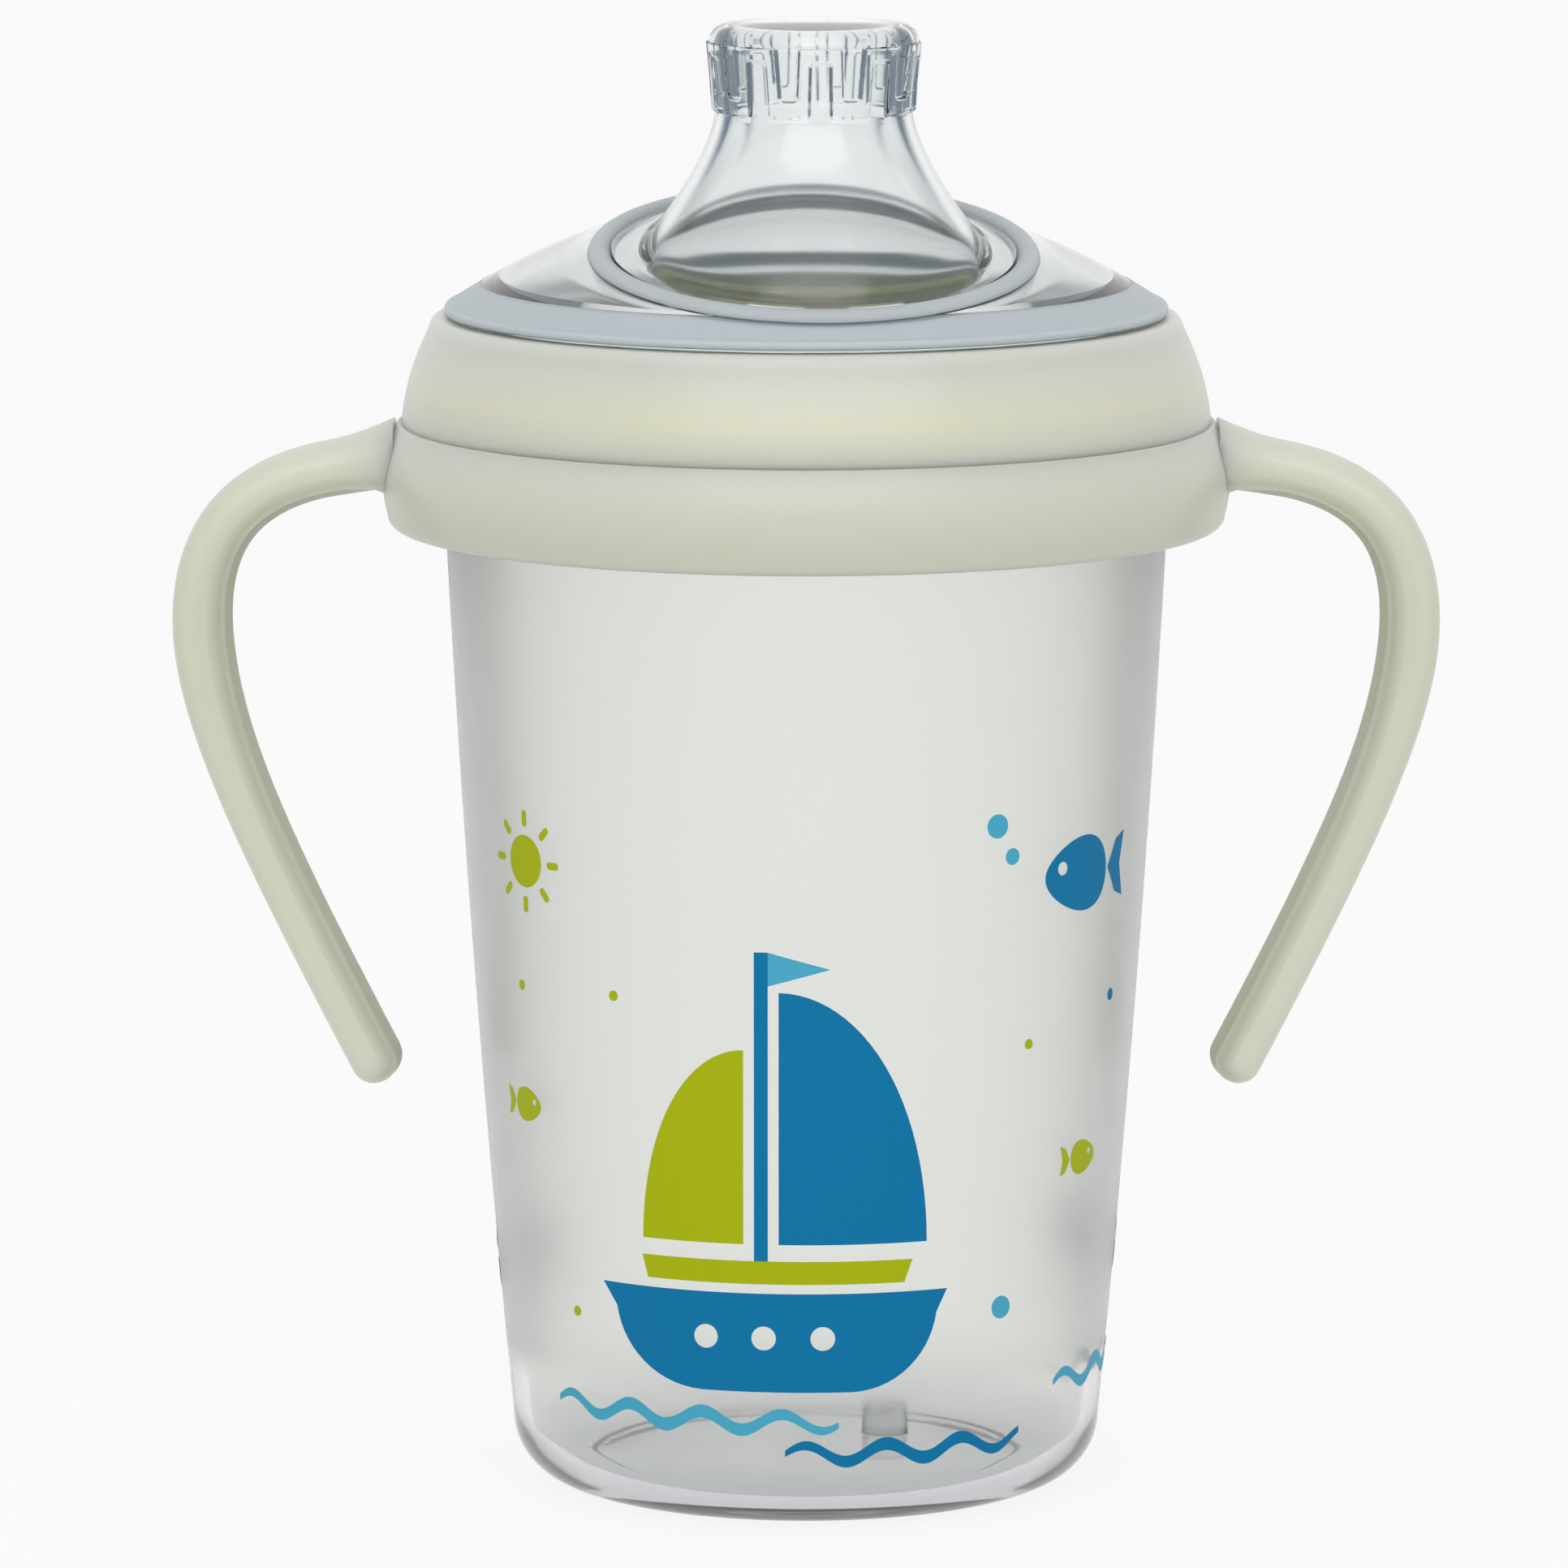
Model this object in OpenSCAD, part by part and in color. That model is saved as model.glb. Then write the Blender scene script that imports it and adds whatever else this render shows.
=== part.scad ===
// Toddler's sippy cup: a clear tapered beaker, a two-handled ring that hangs
// on the beaker's ledge, a screw collar, and a soft spout with its own dome.
// Millimetres, +Z up, origin on the table under the middle of the beaker.
// The spout's offset points along -Y, the drinker's side, and the handles
// lie along X.

/* [Beaker] */
// Height of the beaker from the table to its mouth rim
beaker_h = 107.7; // [100:0.1:120]
// Outer radius of the beaker's neck, on which everything above is fitted
neck_r = 33; // [31:0.1:35]
// Wall thickness of the beaker
beaker_wall = 1.6; // [1.2:0.1:2]
// Largest radius of the rounded foot
foot_r = 27.9; // [25:0.1:30]
// Radius of the rounded corner under the wall
corner_r = 6; // [4:0.1:7]
// How far the wall bows outward between foot and ledge
belly = 0.55; // [0:0.05:1.5]
// Thickness of the floor
floor_t = 1.4; // [1.2:0.1:3]
// Depth of the hollow under the floor, inside the foot ring
foot_recess = 0.6; // [0.4:0.1:2]
// Width of the flat foot ring that stands on the table
foot_ring_w = 1; // [0.6:0.1:2]
// Height of the neck above the ledge
neck_h = 9.3; // [8:0.1:12]
// Thickness of the ledge that carries the handle ring
ledge_t = 1.6; // [1.2:0.1:2.5]
// Radius of the small moulded boss on the floor
boss_r = 2.3; // [1.5:0.1:3]
// Height of the boss above the floor
boss_h = 3.6; // [1:0.1:4]
// Distance of the boss from the beaker's axis
boss_offset = 9.8; // [6:0.1:15]

/* [Fits] */
// Room left beside the neck for the screw thread
thread_room = 1.3; // [1:0.1:1.6]
// Radial clearance of each part that slides over the thread room
slide_gap = 0.3; // [0.2:0.05:0.6]
// Clearance between faces that clamp or turn on each other
seat_gap = 0.1; // [0.05:0.05:0.3]

/* [Handle ring] */
// Height of the handle ring's outer skirt
ring_h = 9.7; // [8:0.1:12]
// How far the skirt's lower edge stands out from the neck
ring_out = 6.5; // [5.8:0.1:8]
// How much the skirt's face swells between its edges
ring_swell = 0.85; // [0:0.05:1.2]
// Thickness of the ring's web, which sits on the ledge
web_t = 2.6; // [1.8:0.1:3]
// Wall thickness of the skirt
skirt_wall = 1.7; // [1.3:0.1:2.2]
// Width of a handle at its root
handle_w = 5.6; // [4.5:0.1:7]
// How much narrower a handle is at its round end than at its root
handle_taper = 0.5; // [0:0.1:1.5]
// Depth of a handle, front to back
handle_d = 8.6; // [7:0.1:10]
// Height of a handle's root above the skirt's lower edge
handle_rise = 6; // [5.6:0.1:6.4]
// Length of a handle's middle line from the ring to its round end
handle_l = 72.8; // [60:0.1:76]
// Radius of the middle line where it bends tightest
bend_r = 10.85; // [10.4:0.05:11.5]
// Length over which the turning grows from nothing at the ring
turn_grow = 16.3; // [15:0.1:18]
// Length over which the turning dies away along the grip
turn_fade = 11.3; // [9:0.1:12.5]

/* [Screw collar] */
// Wall thickness of the collar at its thinnest, by the top plate
collar_wall = 1.2; // [1:0.1:2]
// How much wider the collar is at its lower edge than at its top
collar_flare = 2.7; // [1.5:0.1:3]
// Thickness of the top plate that clamps the spout
plate_t = 1.6; // [1.2:0.1:2.5]
// Radius of the opening that the spout's dome fills
opening_r = 30; // [28:0.1:30.5]
// Rounding of the collar's upper edge
collar_edge_r = 0.9; // [0.4:0.1:1.2]

/* [Spout] */
// Thickness of the flange pinched between the plate and the mouth rim
flange_t = 1.7; // [1.2:0.1:2.5]
// Wall thickness of the dome
dome_wall = 2; // [1.4:0.1:2.4]
// How far the dome laps over the plate outside the opening
dome_lap = 4; // [3:0.1:4.5]
// Upright edge of the dome above the plate
dome_edge = 1; // [0.5:0.1:1.5]
// Radius of the dome's round top
dome_arc_r = 60; // [55:0.5:68]
// Distance of the spout's axis from the cup's axis
spout_offset = 11; // [8:0.1:12]
// Angle of the spout round the cup, from the drinker's side
spout_turn = 3.5; // [-180:0.5:180]
// Height of the spout's tip above the plate's upper face
spout_h = 28.6; // [25:0.1:32]
// Radius of the spout's waist
waist_r = 9.2; // [8:0.1:10]
// How much wider the tip's lip is than the waist
lip_out = 0.55; // [0.3:0.05:1.2]
// Height of the gum ridge zone under the lip
crown_h = 8.4; // [7:0.1:9]
// Wall thickness of the spout
spout_wall = 1.5; // [1.1:0.1:1.8]
// Thickness of the membrane that closes the tip
membrane_t = 0.9; // [0.6:0.1:1.4]
// Length of the drinking slit
slit_l = 6; // [3:0.5:8]
// Width of the drinking slit
slit_w = 0.5; // [0.4:0.1:1]
// Thickness of the bead that rings the spout's foot
bead_d = 2.1; // [1.4:0.1:2.6]
// Radius of the bead, at its middle line
bead_ring_r = 20; // [19:0.1:20.5]
// Number of waves in the gum ridge
ridge_waves = 10; // [8:1:12]
// Height of the gum ridge over the surface
ridge_h = 0.45; // [0.3:0.05:0.7]
// Width of the gum ridge
ridge_w = 1.05; // [0.8:0.05:1.3]

/* [Hidden] */
round_fn = 96;
eps = 0.02;

// Heights, from the table up
ledge_z = beaker_h - neck_h;
web_top_z = ledge_z + web_t;
collar_z = web_top_z + seat_gap;
flange_z = beaker_h;
plate_z = flange_z + flange_t + seat_gap;
plate_top_z = plate_z + plate_t;
dome_z = plate_top_z + seat_gap;
floor_z = foot_recess + floor_t;
tip_z = plate_top_z + spout_h;

// Radii that follow the neck
ledge_out = 3.6;
thread_r = neck_r + thread_room;
shoulder_r = neck_r + thread_room;
ledge_r = neck_r + ledge_out;
web_bore_r = thread_r + slide_gap;
collar_bore_r = thread_r + slide_gap + 0.1;
ring_edge_r = neck_r + ring_out;
skirt_bore_r = ring_edge_r - skirt_wall;
collar_top_r = collar_bore_r + collar_wall - 0.5;

// Points of an arc about c, from angle a to angle b, in n steps
function arc(c, r, a, b, n = 6) =
    [for (i = [0:n]) c + r * [cos(a + (b - a) * i / n), sin(a + (b - a) * i / n)]];

// ---- Beaker ----------------------------------------------------------------

// Bowed wall: t runs from 0 at the foot to 1 at the ledge
wall_z0 = corner_r;
wall_z1 = ledge_z - ledge_t;
wall_steps = 12;
function wall_r(t) = foot_r + (shoulder_r - foot_r) * t + 4 * belly * t * (1 - t);
function wall_z(t) = wall_z0 + (wall_z1 - wall_z0) * t;

inner_corner_r = corner_r - 1.2;
neck_wall = beaker_wall;
ledge_chamfer = 0.6;
rim_round = 0.5;
boss_turn = 39;

module beaker_profile() {
    outer = concat(
        [[foot_r - corner_r - foot_ring_w, 0]],
        arc([foot_r - corner_r, corner_r], corner_r, -90, -9, 9),
        [for (i = [0:wall_steps]) [wall_r(i / wall_steps), wall_z(i / wall_steps)]],
        [[ledge_r - ledge_chamfer, wall_z1],
         [ledge_r, wall_z1 + ledge_chamfer],
         [ledge_r, ledge_z],
         [neck_r, ledge_z]],
        arc([neck_r - rim_round, beaker_h - rim_round], rim_round, 0, 90, 4));
    inner = concat(
        arc([neck_r - neck_wall + rim_round, beaker_h - rim_round], rim_round, 90, 180, 4),
        [[neck_r - neck_wall, ledge_z]],
        [for (i = [wall_steps:-1:1])
            [wall_r(i / wall_steps) - beaker_wall, wall_z(i / wall_steps)]],
        arc([foot_r - beaker_wall - inner_corner_r, floor_z + inner_corner_r],
            inner_corner_r, 0, -90, 7),
        [[0, floor_z], [0, foot_recess],
         [foot_r - corner_r - foot_ring_w - 0.3, foot_recess]]);
    polygon(concat(outer, inner));
}

module floor_boss() {
    rotate(boss_turn)
        translate([boss_offset, 0, floor_z - 0.3])
            difference() {
                cylinder(r1 = boss_r, r2 = boss_r - 0.3, h = boss_h + 0.3, $fn = round_fn);
                translate([0, 0, boss_h - 0.5])
                    cylinder(r = boss_r / 2, h = 1, $fn = round_fn);
            }
}

module beaker() {
    color([0.87, 0.88, 0.88, 0.55]) {
        rotate_extrude($fn = round_fn) beaker_profile();
        floor_boss();
    }
}

// ---- Handle ring -----------------------------------------------------------

skirt_z = web_top_z - ring_h;
ring_top_r = collar_top_r + collar_flare + 0.5;
skirt_edge_r = 1.1;
swell_steps = 8;
function skirt_face_r(t) =
    ring_edge_r + (ring_top_r - ring_edge_r) * t + 4 * ring_swell * t * (1 - t);
function skirt_face_z(t) = skirt_z + skirt_edge_r + (ring_h - 2 * skirt_edge_r) * t;

module ring_profile() {
    polygon(concat(
        [[skirt_bore_r + 0.2, skirt_z]],
        arc([ring_edge_r - skirt_edge_r, skirt_z + skirt_edge_r], skirt_edge_r, -90, 0, 4),
        [for (i = [1:swell_steps - 1])
            [skirt_face_r(i / swell_steps), skirt_face_z(i / swell_steps)]],
        arc([ring_top_r - skirt_edge_r, web_top_z - skirt_edge_r], skirt_edge_r, 0, 90, 4),
        [[web_bore_r, web_top_z], [web_bore_r, ledge_z],
         [skirt_bore_r - 0.5, ledge_z], [skirt_bore_r, ledge_z - 0.5]]));
}

// Middle line of the right handle in the XZ plane. Each point is
// [x, z, heading], with heading 0 pointing out along +X and 90 down. The
// heading turns by turn_rate degrees per millimetre at the tightest bend.
root_x = ring_edge_r - 0.9;
root_z = skirt_z + handle_rise;
root_pitch = 4.5;
root_straight = 0.3;
turn_hold = 2;
turn_rate = 180 / (PI * bend_r);
grip_steps = 36;
cap_steps = 5;
grip_step = handle_l / grip_steps;
fade_start = root_straight + turn_grow + turn_hold;
function turn_at(d) = turn_rate * (d < fade_start
    ? min(1, max(0, d - root_straight) / turn_grow)
    : exp((fade_start - d) / turn_fade));
function walk(i, x, z, heading) = i > grip_steps ? [] :
    let (next = heading + turn_at(grip_step * (i + 0.5)) * grip_step,
         middle = (heading + next) / 2)
    concat([[x, z, heading]],
        walk(i + 1, x + grip_step * cos(middle), z - grip_step * sin(middle), next));
grip_line = walk(0, root_x, root_z, root_pitch);
grip_end = grip_line[grip_steps];
end_w = handle_w - handle_taper;
middle_line = concat(
    grip_line,
    [for (i = [1:cap_steps]) let (d = end_w / 2 * sin(84 * i / cap_steps))
        [grip_end[0] + d * cos(grip_end[2]), grip_end[1] - d * sin(grip_end[2]), grip_end[2]]]);
rings = len(middle_line);

// The section swells where the handle grows out of the ring, and closes at
// its round end
root_steps = 3;
root_swell_w = 1.5;
root_swell_d = 7;
function root_swell(i) = i < root_steps ? pow(1 - i / root_steps, 2.2) : 0;
function end_close(i) = i <= grip_steps ? 1 : cos(84 * (i - grip_steps) / cap_steps);
function width_at(i) = handle_w - handle_taper * min(1, i / grip_steps);
function half_w(i) = (width_at(i) + root_swell_w * root_swell(i)) / 2 * end_close(i);
function half_d(i) = (handle_d + root_swell_d * root_swell(i)) / 2 * end_close(i);

// Rounded-box section, squarer than an ellipse
section_fn = 20;
section_power = 0.72;
function squared(v) = sign(v) * pow(abs(v), section_power);
function section_point(i, k) =
    let (p = middle_line[i], a = 360 * k / section_fn,
         u = half_w(i) * squared(cos(a)), v = half_d(i) * squared(sin(a)))
    [p[0] + u * sin(p[2]), v, p[1] + u * cos(p[2])];

module handle() {
    points = [for (i = [0:rings - 1], k = [0:section_fn - 1]) section_point(i, k)];
    sides = [for (i = [0:rings - 2], k = [0:section_fn - 1])
        let (n = (k + 1) % section_fn)
        [i * section_fn + k, i * section_fn + n,
         (i + 1) * section_fn + n, (i + 1) * section_fn + k]];
    root_cap = [for (k = [section_fn - 1:-1:0]) k];
    tip_cap = [for (k = [0:section_fn - 1]) (rings - 1) * section_fn + k];
    polyhedron(points, concat(sides, [root_cap, tip_cap]), convexity = 4);
}

module handle_ring() {
    color([0.82, 0.84, 0.76]) {
        rotate_extrude($fn = round_fn) ring_profile();
        handle();
        mirror([1, 0, 0]) handle();
    }
}

// ---- Screw collar ----------------------------------------------------------

collar_steps = 8;
collar_foot_round = 0.4;
collar_face_z0 = collar_z + collar_foot_round;
collar_face_z1 = plate_top_z - collar_edge_r;
function collar_face_r(t) = collar_top_r + collar_flare * (1 - pow(t, 1.7));

module screw_collar() {
    color([0.84, 0.86, 0.79])
        rotate_extrude($fn = round_fn)
            polygon(concat(
                [[collar_bore_r + 0.5, collar_z]],
                arc([collar_top_r + collar_flare - collar_foot_round, collar_face_z0],
                    collar_foot_round, -90, 0, 4),
                [for (i = [1:collar_steps - 1]) let (t = i / collar_steps)
                    [collar_face_r(t), collar_face_z0 + (collar_face_z1 - collar_face_z0) * t]],
                arc([collar_top_r - collar_edge_r, collar_face_z1], collar_edge_r, 20, 90, 4),
                [[opening_r, plate_top_z], [opening_r, plate_z],
                 [collar_bore_r, plate_z], [collar_bore_r, collar_z + 0.5]]));
}

// ---- Spout -----------------------------------------------------------------

flange_r = collar_bore_r - slide_gap - 0.2;
groove_r = opening_r - seat_gap;
dome_r = opening_r + dome_lap;
dome_flank_z = dome_z + dome_edge;
dome_rim_r = dome_r - 0.4;
dome_angle = asin(dome_rim_r / dome_arc_r);
dome_c = [0, dome_flank_z - dome_arc_r * cos(dome_angle)];
inner_r = groove_r - dome_wall;

module lid_solid() {
    rotate_extrude($fn = round_fn)
        polygon(concat(
            [[0, flange_z], [flange_r, flange_z], [flange_r, flange_z + flange_t],
             [groove_r, flange_z + flange_t], [groove_r, dome_z],
             [dome_r, dome_z], [dome_r, dome_flank_z - 0.2]],
            arc(dome_c, dome_arc_r, 90 - dome_angle, 90, 12)));
}

// Hollow under the dome, one wall thickness inside its outer face
module lid_hollow() {
    inner_arc_r = dome_arc_r - dome_wall;
    inner_angle = asin(inner_r / inner_arc_r);
    rotate_extrude($fn = round_fn)
        polygon(concat(
            [[0, flange_z - 1], [inner_r, flange_z - 1]],
            arc(dome_c, inner_arc_r, 90 - inner_angle, 90, 12)));
}

// Trumpet-shaped outline of the spout at depth d under the waist: a growing
// flare down to the knee, then a curve that turns down into the dome
waist_z = tip_z - crown_h;
flare_h = 18.5;
flare_steps = 14;
knee_d = 11.5;
knee_out = 6.2;
flare_power = 1.5;
turn_down = 0.05;
knee_slope = flare_power * knee_out / knee_d;
function flare_r(d) = waist_r + (d < knee_d
    ? knee_out * pow(d / knee_d, flare_power)
    : knee_out + knee_slope * (d - knee_d) - turn_down * pow(d - knee_d, 2));
lip_round = 1.5;
lip_crown = 0.35;
lip_r = waist_r + lip_out;

module spout_profile(inset, top) {
    polygon(concat(
        [[0, waist_z - flare_h]],
        [for (i = [flare_steps:-1:0]) let (d = flare_h * i / flare_steps)
            [flare_r(d) - inset, waist_z - d]],
        [for (i = [1:3]) let (t = i / 4)
            [waist_r + lip_out * pow(t, 1.3) - inset,
             waist_z + (crown_h - lip_round - 0.6) * t]],
        arc([lip_r - inset - lip_round, top - lip_crown - lip_round], lip_round, 10, 85, 5),
        [[0, top]]));
}

// Outline of a pocket between two legs of the gum ridge: a tapered slot with
// rounded inner corners, open at its far end
module ridge_pocket(w_mouth, w_end, h) {
    c = 0.35;
    polygon(concat(
        [[w_mouth / 2, -2], [w_mouth / 2, 0]],
        arc([w_end / 2 - c, h - c], c, 0, 90, 3),
        arc([-w_end / 2 + c, h - c], c, 90, 180, 3),
        [[-w_mouth / 2, 0], [-w_mouth / 2, -2]]));
}

// Serpentine ridge: a raised band cut by slots that open in turn at its upper
// and its lower edge
module gum_ridge() {
    pitch = 2 * PI * (waist_r + ridge_h) / ridge_waves;
    slot_w = pitch / 2 - ridge_w;
    band_z0 = waist_z - 0.1;
    band_z1 = tip_z - lip_round - lip_crown;
    band_h = band_z1 - band_z0;
    difference() {
        rotate_extrude($fn = round_fn)
            polygon(concat(
                [[waist_r - 0.8, band_z0], [waist_r + ridge_h - 0.2, band_z0],
                 [waist_r + ridge_h, band_z0 + 0.25]],
                [for (i = [1:3]) let (t = i / 4)
                    [waist_r + lip_out * pow(t, 1.3) + ridge_h * (1 - 0.8 * pow(t, 3)),
                     waist_z + (crown_h - lip_round - 0.6) * t]],
                [[lip_r, band_z1], [waist_r - 0.8, band_z1]]));
        for (i = [0:ridge_waves - 1]) {
            rotate(360 * i / ridge_waves)
                translate([0, 0, band_z0])
                    rotate([90, 0, 0])
                        linear_extrude(height = 2 * waist_r)
                            ridge_pocket(slot_w * 1.05, slot_w * 0.85, band_h - ridge_w);
            rotate(360 * (i + 0.5) / ridge_waves)
                translate([0, 0, band_z1])
                    rotate([90, 0, 0])
                        linear_extrude(height = 2 * waist_r)
                            mirror([0, 1, 0])
                                ridge_pocket(slot_w * 1.2, slot_w * 0.7, band_h - ridge_w);
        }
    }
}

// Bead round the spout's foot, tilted with the dome under it
bead_rise = sqrt(pow(dome_arc_r, 2) - pow(bead_ring_r, 2) - pow(spout_offset, 2));
bead_tilt = atan(spout_offset / bead_rise);
bead_z = dome_c[1] + bead_rise - 0.3;
module foot_bead() {
    translate([0, 0, bead_z])
        rotate([bead_tilt, 0, 0])
            rotate_extrude($fn = round_fn)
                translate([bead_ring_r, 0])
                    circle(d = bead_d, $fn = 32);
}

module spout() {
    color([0.80, 0.87, 0.93, 0.5])
        rotate(spout_turn)
            difference() {
                union() {
                    lid_solid();
                    translate([0, -spout_offset, 0]) {
                        rotate_extrude($fn = round_fn) spout_profile(0, tip_z);
                        gum_ridge();
                        foot_bead();
                    }
                }
                lid_hollow();
                translate([0, -spout_offset, 0])
                    rotate_extrude($fn = round_fn)
                        spout_profile(spout_wall, tip_z - membrane_t);
                translate([-slit_l / 2, -spout_offset - slit_w / 2, tip_z - membrane_t - 1])
                    cube([slit_l, slit_w, membrane_t + 2]);
            }
}

beaker();
handle_ring();
screw_collar();
spout();
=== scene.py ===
"""Looks for the sippy cup: moulded plastics, clear silicone, screw threads and the wrap-around print.

Lengths are in millimetres until a mesh is made, and MM turns them into metres. +Z is up, the drinker is
at -Y and the handles point along X. The four CAD nodes are replaced by smooth meshes of the same sizes.
"""

import math

import bmesh
import bpy
from mathutils import Matrix, Vector
from mathutils.geometry import tessellate_polygon


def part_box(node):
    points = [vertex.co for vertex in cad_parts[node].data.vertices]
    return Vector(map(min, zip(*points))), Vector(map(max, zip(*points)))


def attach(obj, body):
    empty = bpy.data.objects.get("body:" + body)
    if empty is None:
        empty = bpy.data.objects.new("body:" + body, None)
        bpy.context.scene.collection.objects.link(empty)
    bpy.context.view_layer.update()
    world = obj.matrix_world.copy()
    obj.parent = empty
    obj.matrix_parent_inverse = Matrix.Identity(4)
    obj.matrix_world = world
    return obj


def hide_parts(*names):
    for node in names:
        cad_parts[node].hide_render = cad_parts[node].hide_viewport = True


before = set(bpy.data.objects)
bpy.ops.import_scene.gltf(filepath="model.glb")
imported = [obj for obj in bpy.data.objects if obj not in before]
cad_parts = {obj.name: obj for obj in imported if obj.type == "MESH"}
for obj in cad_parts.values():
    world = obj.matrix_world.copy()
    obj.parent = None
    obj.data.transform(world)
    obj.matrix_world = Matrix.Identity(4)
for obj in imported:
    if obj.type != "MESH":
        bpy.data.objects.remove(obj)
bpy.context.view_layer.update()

MM = 0.001
TAU = 2 * math.pi


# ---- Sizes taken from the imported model, in millimetres ----

def node_box(node):
    low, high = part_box(node)
    return low / MM, high / MM


_, beaker_high = node_box("beaker")
_, ring_high = node_box("handle_ring")
collar_low, collar_high = node_box("screw_collar")
spout_low, spout_high = node_box("spout")

BEAKER_H = beaker_high.z
LEDGE_R = beaker_high.x
COLLAR_Z = collar_low.z
PLATE_TOP_Z = collar_high.z
COLLAR_R = collar_high.x
FLANGE_Z = spout_low.z
TIP_Z = spout_high.z
RING_TOP_Z = ring_high.z
SKIRT_H = 9.7
SKIRT_Z = RING_TOP_Z - SKIRT_H


# ---- Small helpers ----

def smoothstep(low, high, x):
    t = min(1.0, max(0.0, (x - low) / (high - low)))
    return t * t * (3 - 2 * t)


def mix(a, b, t):
    return a + (b - a) * t


def soft_max(a, b, k):
    """The larger of a and b, with a rounded corner about k wide where they meet."""
    h = max(k - abs(a - b), 0) / k
    return max(a, b) + h * h * k / 4


def arc(cx, cz, r, start, end, steps):
    """Points of an arc in a profile, from angle start to angle end in degrees."""
    angles = [math.radians(mix(start, end, i / steps)) for i in range(steps + 1)]
    return [(cx + r * math.cos(a), cz + r * math.sin(a)) for a in angles]


def on_circle(r, angle, z):
    return (r * math.cos(angle), r * math.sin(angle), z)


def new_piece(name, points, faces, material, body):
    """A mesh object in metres with one material slot, that rides on a body."""
    mesh = bpy.data.meshes.new(name)
    mesh.from_pydata([Vector(p) * MM for p in points], [], faces)
    mesh.validate()
    mesh.materials.append(material)
    mesh.polygons.foreach_set("use_smooth", [True] * len(mesh.polygons))
    piece = bpy.data.objects.new(name, mesh)
    bpy.context.scene.collection.objects.link(piece)
    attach(piece, body)
    return piece


def outward(piece):
    """Turns all faces of a closed mesh to point out."""
    bm = bmesh.new()
    bm.from_mesh(piece.data)
    bmesh.ops.recalc_face_normals(bm, faces=bm.faces)
    bm.to_mesh(piece.data)
    bm.free()


def sharpen(piece, degrees):
    """Keeps edges that bend more than this crisp under smooth shading."""
    piece.data.set_sharp_from_angle(angle=math.radians(degrees))


def loft(rings, close_ends=True):
    """Joins rings of equally many points into a closed tube. Returns points and faces."""
    count = len(rings[0])
    points = [p for ring in rings for p in ring]
    faces = []
    for i in range(len(rings) - 1):
        for k in range(count):
            n = (k + 1) % count
            faces.append((i * count + k, i * count + n, (i + 1) * count + n, (i + 1) * count + k))
    if close_ends:
        faces.append(tuple(range(count - 1, -1, -1)))
        faces.append(tuple((len(rings) - 1) * count + k for k in range(count)))
    return points, faces


def lathe(profile, segments):
    """A closed solid of revolution. Profile points on the axis become single vertices."""
    points, rows = [], []
    for r, z in profile:
        if r < 1e-6:
            rows.append([len(points)] * segments)
            points.append((0.0, 0.0, z))
        else:
            rows.append(list(range(len(points), len(points) + segments)))
            points += [on_circle(r, TAU * k / segments, z) for k in range(segments)]
    closed = profile[0][0] > 1e-6 and profile[-1][0] > 1e-6
    pairs = list(zip(rows, rows[1:])) + ([(rows[-1], rows[0])] if closed else [])
    faces = []
    for a, b in pairs:
        for k in range(segments):
            n = (k + 1) % segments
            corners = [a[k], a[n], b[n], b[k]]
            face = [c for i, c in enumerate(corners) if c != corners[i - 1]]
            if len(face) > 2:
                faces.append(tuple(face))
    return points, faces


# ---- Materials ----

def srgb(code):
    """A #RRGGBB colour as linear RGBA."""
    values = [int(code[i:i + 2], 16) / 255 for i in (1, 3, 5)]
    return [v / 12.92 if v <= 0.04045 else ((v + 0.055) / 1.055) ** 2.4 for v in values] + [1.0]


def principled(name, colour, roughness, **sockets):
    material = bpy.data.materials.new(name)
    material.use_nodes = True
    shader = material.node_tree.nodes["Principled BSDF"]
    shader.inputs["Base Color"].default_value = srgb(colour)
    shader.inputs["Roughness"].default_value = roughness
    for label, value in sockets.items():
        shader.inputs[label.replace("_", " ")].default_value = value
    return material, shader


def add_noise(material, scale):
    """Noise in the object's own coordinates, in features per metre."""
    nodes, links = material.node_tree.nodes, material.node_tree.links
    place = nodes.new("ShaderNodeTexCoord")
    noise = nodes.new("ShaderNodeTexNoise")
    noise.inputs["Scale"].default_value = scale
    links.new(place.outputs["Object"], noise.inputs["Vector"])
    return noise


def add_bump(material, shader, noise, distance, strength):
    nodes, links = material.node_tree.nodes, material.node_tree.links
    bump = nodes.new("ShaderNodeBump")
    bump.inputs["Distance"].default_value = distance
    bump.inputs["Strength"].default_value = strength
    links.new(noise.outputs["Fac"], bump.inputs["Height"])
    links.new(bump.outputs["Normal"], shader.inputs["Normal"])


def vary_roughness(material, shader, noise, low, high):
    nodes, links = material.node_tree.nodes, material.node_tree.links
    spread = nodes.new("ShaderNodeMapRange")
    spread.inputs["To Min"].default_value = low
    spread.inputs["To Max"].default_value = high
    links.new(noise.outputs["Fac"], spread.inputs["Value"])
    links.new(spread.outputs["Result"], shader.inputs["Roughness"])


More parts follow.
